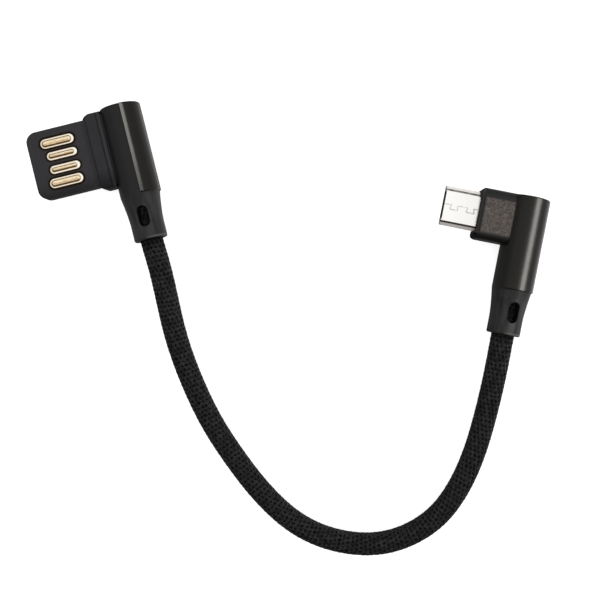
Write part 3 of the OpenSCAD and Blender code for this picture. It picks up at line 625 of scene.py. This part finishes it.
def contactFinish(m, shape):
    f = Finish("usbGoldPlate")
    place = f.plugSpace(usbPlug)
    angle, inset, _ = f.split(f.add("ShaderNodeUVMap", {"uv_map": "outline"}))
    toEnd = (angle * (2 * math.pi)).cos()             # 1 at the end by the collar
    toFar = ((angle - 0.25) * (2 * math.pi)).cos()    # 1 on the side by the tube's closed end
    grain = f.streaks(place, m["brushed"], m["brushScale"], roughness=0.65)
    spots = f.noise(place, m["spotScale"], detail=3, roughness=0.6)
    # Painted highlight on the end by the collar, and painted shade that widens the groove on its near
    # side
    paintedSheen = toEnd.rise(*m["paintedSheen"])
    rimEnd, (past, soft) = shape["rimEnd"], m["grooveEdge"]
    rim = inset.fall(*about(rimEnd, m["rimEdge"]))
    # Painted shade in the groove, wider on its near side, less on the far side and at the highlighted
    # end
    nearSide = toFar.fall(*m["shadeSide"]) * inset.more(rimEnd + m["shadeReach"])
    groove = (inset - m["shadeReach"] * nearSide).band(rimEnd, shape["grooveEnd"] + past, soft)
    groove = groove * (m["grooveDark"] - m["grooveFar"] * toFar) * (1 - m["grooveUnderSheen"] * paintedSheen)
    # Painted highlight on the island, stronger by the collar and on the far side, over its grain and
    # spots
    s = m["islandShine"]
    shine = (s["base"] + s["grain"] * grain + s["spots"] * spots + s["far"] * toFar
             + s["paintedSheen"] * paintedSheen)
    island = f.mix(shine.clamp(), m["island"], m["bright"])
    # Painted shade: the rim duller towards the end away from the collar, and in spots
    dull = m["rimDull"]["base"] + m["rimDull"]["near"] * (-toEnd).rise(*m["nearEdge"]) + spots
    paleAndLit = (paintedSheen * (m["rimSheen"] + spots)).clamp()
    rimColour = f.mix(paleAndLit, f.mix(dull.clamp(), m["rim"], m["dull"]), m["paleAndLit"])
    colour = f.mix(groove, f.mix(rim, island, rimColour), m["groove"])
    roughness = blend(m["roughness"], m["rimRoughness"], rim) + m["grainRoughness"] * (grain - 0.5)
    return f.surface({"Base Color": colour, "Metallic": 1, "Roughness": roughness,
                      "Normal": f.bump((grain + spots) * (1 - m["rimSmooth"] * rim), m["depth"])})

usbGold = contactFinish(goldPlate, contactShape)
for name, side, node in (("upperContacts", 1, "usb_a_contacts_upper"),
                         ("lowerContacts", -1, "usb_a_contacts_lower")):
    contacts = makeContacts(name, side, contactShape)
    wear(contacts, usbGold)
    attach(contacts, "cable")
    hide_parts(node)

def pinFinish(m):
    f = Finish("pinGoldPlate")
    grain = f.noise(f.plugSpace(microPlug), m["pinScale"], detail=4, roughness=0.65)
    return f.surface({"Base Color": f.mix(grain, m["pin"], m["bright"]), "Metallic": 1,
                      "Roughness": m["pinRoughness"] + m["pinGrain"] * (grain - 0.5),
                      "Normal": f.bump(grain, m["pinDepth"])})

wear("micro_contacts", pinFinish(goldPlate))
print("contacts are made")


# Matt blade and collar, with painted shade in the seat round each contact, in mm
bladePlastic = {
    # The pale colour is reached by the grain and drift, and by painted light up y and on the collar's
    # step
    "face": (0.0145, 0.014, 0.0158), "paleAndLit": (0.0485, 0.0462, 0.05), "seat": (0.016, 0.0078, 0.0006),
    "roughness": 0.55, "specular": 0.08, "grainScale": 8, "driftScale": 0.5,
    "seatEdge": (0.16, 0.48),             # from the contact's outline
    "seatAbove": 1.0,           # only on the blade's faces
    "seatRoughness": 0.5, "grainRoughness": 0.12, "grainRelief": 0.1, "depth": 0.06,
    "paintedLightUp": (-12.8, -9.8),   # painted light: paler up this stretch of y
    "tone": {"paintedLightUp": 0.6, "drift": 0.4, "grain": 0.15, "towardsCollar": 0.25, "collar": -0.4,
             "foot": -0.35},
    # Painted light on the collar's step, with painted shade at its foot: tone, left, right, softness
    "step": [(0.3, -3.8, -3.35, 0.08), (-0.35, -4.1, -3.9, 0.05)],
    "towardsCollar": (-9.62, -6.62), "collar": (-6.22, -6.02),
    "foot": (-6.12, -5.8, 0.1), "footY": (-12, -11),             # painted shadow where the collar meets the blade
}

def bladeFinish(m, shape):
    f = Finish("bladePlastic")
    place = f.plugSpace(usbPlug)
    x, y, z = f.split(place)
    grain = f.noise(place, m["grainScale"], detail=3)
    drift = f.noise(place, m["driftScale"])
    # Distance from the nearest contact's outline
    away = abs(y - shape["middle"])
    isOuter = away.more((shape["outer"]["side"] + shape["inner"]["side"]) / 2)
    inner, outer = [(c["x"], (c["length"] - c["width"]) / 2, c["width"] / 2, c["side"])
                    for c in (shape["inner"], shape["outer"])]
    middle, straight, radius, side = [blend(a, b, isOuter) for a, b in zip(inner, outer)]
    past = (abs(x - middle) - straight).above(0)
    distance = (past ** 2 + (away - side) ** 2).sqrt() - radius
    # Painted shade in the seat round each contact, only on the blade's faces
    seat = distance.fall(*m["seatEdge"]) * abs(z).more(m["seatAbove"])
    t = m["tone"]
    tone = (t["paintedLightUp"] * y.rise(*m["paintedLightUp"]) + t["drift"] * drift + t["grain"] * (grain - 0.5)
            + t["towardsCollar"] * x.rise(*m["towardsCollar"]) + t["collar"] * x.rise(*m["collar"])
            + t["foot"] * x.band(*m["foot"]) * y.rise(*m["footY"]) + x.marks(m["step"]))
    colour = f.mix(tone.clamp(), m["face"], m["paleAndLit"])
    roughness = m["roughness"] + m["grainRoughness"] * (grain - 0.5) + m["seatRoughness"] * seat
    return f.surface({"Base Color": f.mix(seat, colour, m["seat"]),
                      "Specular IOR Level": m["specular"], "Roughness": roughness.clamp(),
                      "Normal": f.bump(m["grainRelief"] * grain - seat, m["depth"])})

bladeMaterial = bladeFinish(bladePlastic, contactShape)
wear("usb_a_blade", bladeMaterial)
wear("usb_a_collar", bladeMaterial)
print("blade is finished")


# Dark metal covers, drawn sheet with faint lines along the tube, and a painted highlight at either end
darkMetal = {
    "face": (0.021, 0.0205, 0.0198), "line": (0.026, 0.025, 0.0235), "rim": (0.06, 0.057, 0.052),
    "drawn": (9, 0.25, 9), "drawnRoughness": 0.06, "depth": 0.0015,
    "driftScale": 0.5, "driftRoughness": 0.05,
    "endHighlight": 0.8, "rimEdge": (0.02, 0.14), "topEdge": 0.12,   # mm from either end
}
covers = {
    "usbCoverMetal": {"piece": "usb_a_metal_cover", "plug": usbPlug, "length": 15.7, "roughness": 0.17},
    "microCoverMetal": {"piece": "micro_metal_cover", "plug": microPlug, "length": 16.3,
                        "roughness": 0.28},
}

def coverFinish(name, cover, m):
    f = Finish(name)
    place = f.plugSpace(cover["plug"])
    _, y, _ = f.split(place)
    drawn = f.streaks(place, m["drawn"])
    drift = f.noise(place, m["driftScale"])
    near, far = m["rimEdge"]
    # Painted highlight on the rolled rim at either end
    ends = (-y).rise(cover["length"] - far, cover["length"] - near) + y.rise(-m["topEdge"], -near)
    colour = f.mix((m["endHighlight"] * ends).clamp(), f.mix(drawn, m["face"], m["line"]), m["rim"])
    roughness = (cover["roughness"] + m["drawnRoughness"] * (drawn - 0.5)
                 + m["driftRoughness"] * (drift - 0.5))
    return f.surface({"Base Color": colour, "Metallic": 1, "Roughness": roughness,
                      "Normal": f.bump(drawn, m["depth"])})

for name, cover in covers.items():
    wear(cover["piece"], coverFinish(name, cover, darkMetal))


# Micro-B moulding: spark-eroded panel on the block, satin tube and relief, in mm
microMoulding = {
    "tube": (0.0088, 0.0082, 0.0082), "relief": (0.026, 0.0247, 0.0243), "lip": (0.06, 0.056, 0.054),
    "panel": (0.089, 0.0755, 0.068), "panelDark": (0.029, 0.025, 0.023),
    # The root colour is a painted reflection of the shell on the block's wall, and the under colour
    # painted shadow below the block
    "root": (0.038, 0.0315, 0.0275), "under": (0.0025, 0.002, 0.0018),
    "roughness": 0.48, "specular": 0.15,
    "grainScale": 7, "driftScale": 0.4, "driftTone": 0.1, "driftRoughness": 0.15,
    "panelX": (-7.65, -2.3, 0.2), "panelY": (-7.55, -1.55, 0.22),    # from, to, softness
    "panelHeight": (2.3, 2.5),            # only on the block's flat faces
    "mottleScale": 2.6, "mottle": (0.28, 0.68), "panelRoughness": 0.3,
    "depth": 0.06, "grainRelief": 0.1, "mottleRelief": 0.8, "panelSink": 0.6,
    "wall": (-8.2, -8.05), "wallRoughness": 0.5,                 # matt where it meets the shell
    "underX": (-2.3, -1.8), "underY": (-9.05, -7.85, 0.15),      # painted shadow below the block
    "reliefStart": 16.3, "end": 24.15,    # down the tube
    "fadeBefore": 0.5, "neckEnd": 1.6,
    "reliefTone": 0.45, "flow": 4.5,
    "neckLightAndShade": [(0.45, -9, -0.7, 0.5), (-0.5, -0.1, 0.8, 0.25)],  # tone, left, right, softness
    # Painted sheen on the tube's side, below the block
    "paintedSheen": 0.3, "sheenX": (-2.2, -1.2), "sheenFrom": 7.8, "sheenSoft": 0.2,
}

def microMouldingFinish(m):
    f = Finish("microMoulding")
    place = f.plugSpace(microPlug)
    x, y, z = f.split(place)
    down = -y
    grain = f.noise(place, m["grainScale"], detail=3)
    mottle = f.noise(place, m["mottleScale"], detail=4, roughness=0.7)
    drift = f.noise(place, m["driftScale"], detail=3)
    panel = x.band(*m["panelX"]) * y.band(*m["panelY"]) * abs(z).rise(*m["panelHeight"])
    # Painted sheen on the tube's side below the block
    below = down.band(m["sheenFrom"], m["reliefStart"], m["sheenSoft"])
    paintedSheen = m["paintedSheen"] * x.fall(*m["sheenX"]) * below
    tone = reliefTone(f, place, x, down, m) + m["driftTone"] * drift + paintedSheen
    plain = f.mix(tone.clamp(), m["tube"], m["relief"])
    plain = reliefMouth(f, plain, x, down, m)
    # Painted reflection on the block's wall by the shell
    wall = x.fall(*m["wall"])
    plain = f.mix(wall, plain, m["root"])
    # Painted shadow below the block
    plain = f.mix(y.band(*m["underY"]) * x.fall(*m["underX"]), plain, m["under"])
    sparked = f.mix(mottle.rise(*m["mottle"]), m["panelDark"], m["panel"])
    roughness = (m["roughness"] + m["panelRoughness"] * panel + m["wallRoughness"] * wall
                 + m["driftRoughness"] * (drift - 0.5))
    relief = m["grainRelief"] * grain + panel * (m["mottleRelief"] * mottle - m["panelSink"])
    return f.surface({"Base Color": f.mix(panel, plain, sparked), "Specular IOR Level": m["specular"],
                      "Roughness": roughness.clamp(), "Normal": f.bump(relief, m["depth"])})

wear("micro_housing", microMouldingFinish(microMoulding))
print("mouldings and covers are finished")


# Nickel-plated shell: bright sheet, with painted shade where its folds and mouth turn away, and darker
# along its seam
nickel = {
    "face": (0.99, 0.985, 0.965), "stain": (0.9, 0.89, 0.865), "bevel": (0.95, 0.91, 0.87),
    "fold": (0.025, 0.015, 0.008), "mouth": (0.01, 0.012, 0.012),
    "root": (0.06, 0.035, 0.02), "seam": (0.42, 0.42, 0.41),
    "rolled": (0.6, 9, 9), "driftScale": 0.8, "roughness": 0.2, "rolledRoughness": 0.1,
    "bevelRoughness": 0.25, "bevelDull": 0.5, "rolledRelief": 0.05, "depth": 0.03,
    "stainDrift": 0.3, "stainRoot": 0.7, "foldDark": 0.98, "foldFarPale": 0.3,
}
shellShape = {                  # mm in the plug's own frame
    "tip": -14.55, "root": -8.36, "middle": -4.05,
    "halfTop": 2.8, "level": 0.9,         # half the flat top, and its height
    "foldOut": 0.13, "foldFar": 0.23,     # how far out a fold's middle lies, and less on the far side
    "foldEdge": (0.18, 0.3), "farThinner": 0.06,
    "lip": 0.16, "lipEdge": (-0.06, 0.04), "lipOpen": 0.75, "lipCorner": (2.2, 2.7),
    "bevelEdge": (0.02, 0.1), "bevelZ": (-0.1, 0.1), "topEdge": (-0.12, -0.04),
    "rootEdge": (-0.08, 0.08), "farEdge": (-0.5, 0.5), "farPalePatches": (0.3, 0.7),
    "seamAt": 0.2, "seamEdge": (0.03, 0.1), "seamFaint": (0.25, 0.55),
    "tabStart": 1.9, "tabPitch": 2.9, "tabNeck": 0.53, "tabWide": 0.71, "tabHeight": 0.8,
}

def dovetailSeam(f, x, y, s):
    # Distance from the seam: one tab repeated, mirrored about its middle
    tab = (x - (s["tip"] + s["tabStart"])) / s["tabPitch"]
    tab = abs(tab - (tab + 0.5).floor()) * s["tabPitch"]
    across = y - s["seamAt"]
    neck, wide, depth = (s["tabNeck"], 0), (s["tabWide"], -s["tabHeight"]), (0, -s["tabHeight"])
    seam = f.segment(tab, across, neck, (s["tabPitch"], 0))
    seam = seam.below(f.segment(tab, across, neck, wide))
    return seam.below(f.segment(tab, across, depth, wide))

def shellFinish(m, s):
    f = Finish("nickelShell")
    place = f.plugSpace(microPlug)
    x, y, z = f.split(place)
    y = y - s["middle"]
    rolled = f.streaks(place, m["rolled"])
    drift = f.noise(place, m["driftScale"], detail=3)
    away = abs(y)
    far = y.rise(*s["farEdge"])           # 0 on the side by the relief, 1 opposite
    # Painted shade on the rounded folds of the two bevels, the far one thinner and paler in patches
    outer = s["halfTop"] + s["foldOut"]
    fold = ((away - outer + s["foldFar"] * far) ** 2 + (z - s["level"]) ** 2).sqrt()
    fold = (fold + s["farThinner"] * far).fall(*s["foldEdge"])
    fold = fold * (m["foldDark"] - m["foldFarPale"] * far * drift.rise(*s["farPalePatches"]))
    bevel = away.rise(*about(s["halfTop"], s["bevelEdge"])) * z.rise(*s["bevelZ"])
    top = z.rise(*about(s["level"], s["topEdge"]))
    seam = dovetailSeam(f, x, y, s).fall(*s["seamEdge"]) * top * drift.rise(*s["seamFaint"])
    # Painted shade along the mouth's lip, less at its corners
    mouth = x.fall(*about(s["tip"] + s["lip"], s["lipEdge"]))
    mouth = mouth * (1 - s["lipOpen"] * away.rise(*s["lipCorner"]))
    stain = m["stainDrift"] * drift + m["stainRoot"] * x.rise(s["tip"], s["root"])
    colour = f.mix(stain.clamp(), m["face"], m["stain"])
    # Painted shadow at the shell's root, by the block
    root = x.rise(*about(s["root"], s["rootEdge"]))
    for share, part in ((bevel, "bevel"), (seam, "seam"), (fold.above(0), "fold"), (mouth, "mouth"),
                        (root, "root")):
        colour = f.mix(share, colour, m[part])
    roughness = (m["roughness"] + m["rolledRoughness"] * (rolled - 0.5)
                 + m["bevelRoughness"] * bevel)
    return f.surface({"Base Color": colour, "Metallic": 1 - m["bevelDull"] * bevel,
                      "Roughness": roughness,
                      "Normal": f.bump(m["rolledRelief"] * rolled - seam, m["depth"])})

wear("micro_shell", shellFinish(nickel, shellShape))

springSteel = {
    "face": (0.62, 0.6, 0.56), "stain": (0.5, 0.47, 0.42),
    "rolled": (0.6, 9, 9), "roughness": 0.3, "rolledRoughness": 0.12, "depth": 0.002,
}

def springFinish(m):
    f = Finish("springSteel")
    rolled = f.streaks(f.plugSpace(microPlug), m["rolled"])
    return f.surface({"Base Color": f.mix(rolled, m["face"], m["stain"]), "Metallic": 1,
                      "Roughness": m["roughness"] + m["rolledRoughness"] * (rolled - 0.5),
                      "Normal": f.bump(rolled, m["depth"])})

springMaterial = springFinish(springSteel)
wear("micro_latch_left", springMaterial)
wear("micro_latch_right", springMaterial)


# Pieces inside the plugs: two shades of each material, in a fine grain
insideGrain = {"scale": 3.0, "detail": 3, "sharpness": 0.6, "roughness": 0.15, "depth": 0.01}
insides = {
    "insulatorPlastic": {"shades": [(0.02, 0.02, 0.022), (0.035, 0.034, 0.036)], "roughness": 0.5,
                         "pieces": ["micro_insulator"]},
    "circuitBoard": {"shades": [(0.012, 0.075, 0.03), (0.02, 0.11, 0.045)], "roughness": 0.35,
                     "pieces": ["usb_a_circuit_board", "micro_circuit_board"]},
    "innerMould": {"shades": [(0.62, 0.6, 0.52), (0.72, 0.7, 0.62)], "roughness": 0.5,
                   "pieces": ["usb_a_inner_mould", "micro_inner_mould"]},
    "cordJacket": {"shades": [(0.02, 0.02, 0.021), (0.03, 0.03, 0.031)], "roughness": 0.45,
                   "pieces": ["usb_a_cord_jacket", "micro_cord_jacket"]},
    "wireRed": {"shades": [(0.55, 0.02, 0.015), (0.42, 0.015, 0.012)], "roughness": 0.4,
                "pieces": ["usb_a_wire_red", "micro_wire_red"]},
    "wireWhite": {"shades": [(0.75, 0.74, 0.7), (0.66, 0.65, 0.6)], "roughness": 0.4,
                  "pieces": ["usb_a_wire_white", "micro_wire_white"]},
    "wireGreen": {"shades": [(0.02, 0.26, 0.06), (0.015, 0.2, 0.045)], "roughness": 0.4,
                  "pieces": ["usb_a_wire_green", "micro_wire_green"]},
    "wireBlack": {"shades": [(0.015, 0.015, 0.016), (0.024, 0.024, 0.025)], "roughness": 0.4,
                  "pieces": ["usb_a_wire_black", "micro_wire_black"]},
}

def insideFinish(name, inside, g):
    f = Finish(name)
    grain = f.noise(f.millimetres(), g["scale"], g["detail"], g["sharpness"])
    return f.surface({"Base Color": f.mix(grain, *inside["shades"]),
                      "Roughness": inside["roughness"] + g["roughness"] * (grain - 0.5),
                      "Normal": f.bump(grain, g["depth"])})

for name, inside in insides.items():
    material = insideFinish(name, inside, insideGrain)
    for piece in inside["pieces"]:
        wear(piece, material)
print("shell, springs and inner pieces are finished")


# Pale table top, lit from within so that no shadow spreads on it
table = {
    "half": 5,                  # metres from its middle to a side
    "colour": (0.93, 0.93, 0.93), "shade": (0.9, 0.9, 0.9), "glow": 0.72, "cloudScale": 3,
    "roughness": 0.9, "specular": 0.1,
}

def makeTable(t):
    h = t["half"]
    top = addPiece("tableTop", [(-h, -h, 0), (h, -h, 0), (h, h, 0), (-h, h, 0)], [(0, 1, 2, 3)])
    f = Finish("paleTable")
    cloud = f.noise(f.add("ShaderNodeTexCoord", output="Object"), t["cloudScale"])
    wear(top, f.surface({"Base Color": f.mix(cloud, t["colour"], t["shade"]),
                         "Roughness": t["roughness"], "Specular IOR Level": t["specular"],
                         "Emission Color": (1, 1, 1, 1), "Emission Strength": t["glow"]}))
    # The room's own lower half stands for the light that a table throws back
    top.visible_diffuse = top.visible_glossy = top.visible_shadow = False

makeTable(table)


# Soft studio room: bright overhead, with darker ends, as if between two long side screens
room = {
    "overhead": 1.0, "right": 0.9, "left": 0.6, "farEnd": 0.5, "nearEnd": 0.1,
    "lowRight": 1.15, "lowLeft": 0.4, "lowNear": 0.45, "under": 0.12,
    "tint": (1, 0.997, 0.99, 1),
    # Where each passes into the next, on the sphere of directions
    "toRight": (-0.6, 0.6), "toNear": (0.3, 0.75), "toFar": (0.4, 0.85),
    "fromUnder": (-0.97, -0.82), "horizon": (-0.08, 0.08), "ceiling": (0.5, 0.82),
}

def lightRoom(r):
    world = bpy.data.worlds.new("room")
    f = Finish("room", world)
    x, y, z = f.split(f.add("ShaderNodeTexCoord", output="Generated"))
    toRight, toNear = x.rise(*r["toRight"]), (-y).rise(*r["toNear"])
    side = blend(r["left"], r["right"], toRight)
    side = blend(side, r["nearEnd"], toNear)
    side = blend(side, r["farEnd"], y.rise(*r["toFar"]))
    low = blend(r["lowLeft"], r["lowRight"], toRight)
    low = blend(low, r["lowNear"], toNear)
    low = blend(r["under"], low, z.rise(*r["fromUnder"]))
    light = blend(low, side, z.rise(*r["horizon"]))
    light = blend(light, r["overhead"], z.rise(*r["ceiling"]))
    background = f.add("ShaderNodeBackground", {}, {"Color": r["tint"], "Strength": light})
    f.add("ShaderNodeOutputWorld", {}, {"Surface": background})
    scene.world = world

lightRoom(room)

# Long strip lights, each for one piece, tilted to the right about its tube; ahead is down the tube
stripAway, stripLength = 0.5, 0.6
strips = [
    {"name": "usbStrip", "plug": usbPlug, "tilt": 20, "ahead": -0.365, "width": 0.17, "power": 3.05,
     "lights": "usb_a_metal_cover"},
    {"name": "microStrip", "plug": microPlug, "tilt": 45, "ahead": 0, "width": 0.22, "power": 5.6,
     "lights": "micro_metal_cover"},
    {"name": "microSoft", "plug": microPlug, "tilt": 45, "ahead": 0, "width": 0.25, "power": 2.7,
     "lights": "micro_housing"},
    {"name": "usbSoft", "plug": usbPlug, "tilt": 46, "ahead": 0.5, "width": 0.12, "power": 1.6,
     "lights": "usb_a_housing"},
]

def addStrip(s):
    light = bpy.data.lights.new(s["name"], "AREA")
    light.shape = "RECTANGLE"
    light.size, light.size_y = s["width"], stripLength
    light.energy = s["power"]
    lamp = bpy.data.objects.new(s["name"], light)
    turn, tilt = math.radians(s["plug"]["turn"]), math.radians(s["tilt"])
    tube = Vector((math.sin(turn), -math.cos(turn), 0))
    toLamp = Vector((math.cos(turn) * math.sin(tilt), math.sin(turn) * math.sin(tilt), math.cos(tilt)))
    lamp.matrix_world = Matrix((tube.cross(toLamp), tube, toLamp)).transposed().to_4x4()
    lamp.location = Vector(s["plug"]["place"]) + tube * s["ahead"] + toLamp * stripAway
    scene.collection.objects.link(lamp)
    lit = bpy.data.collections.new(s["name"] + "Pieces")
    lit.objects.link(nodes[s["lights"]])
    lamp.light_linking.receiver_collection = lit

for strip in strips:
    addStrip(strip)
print("room is lit")
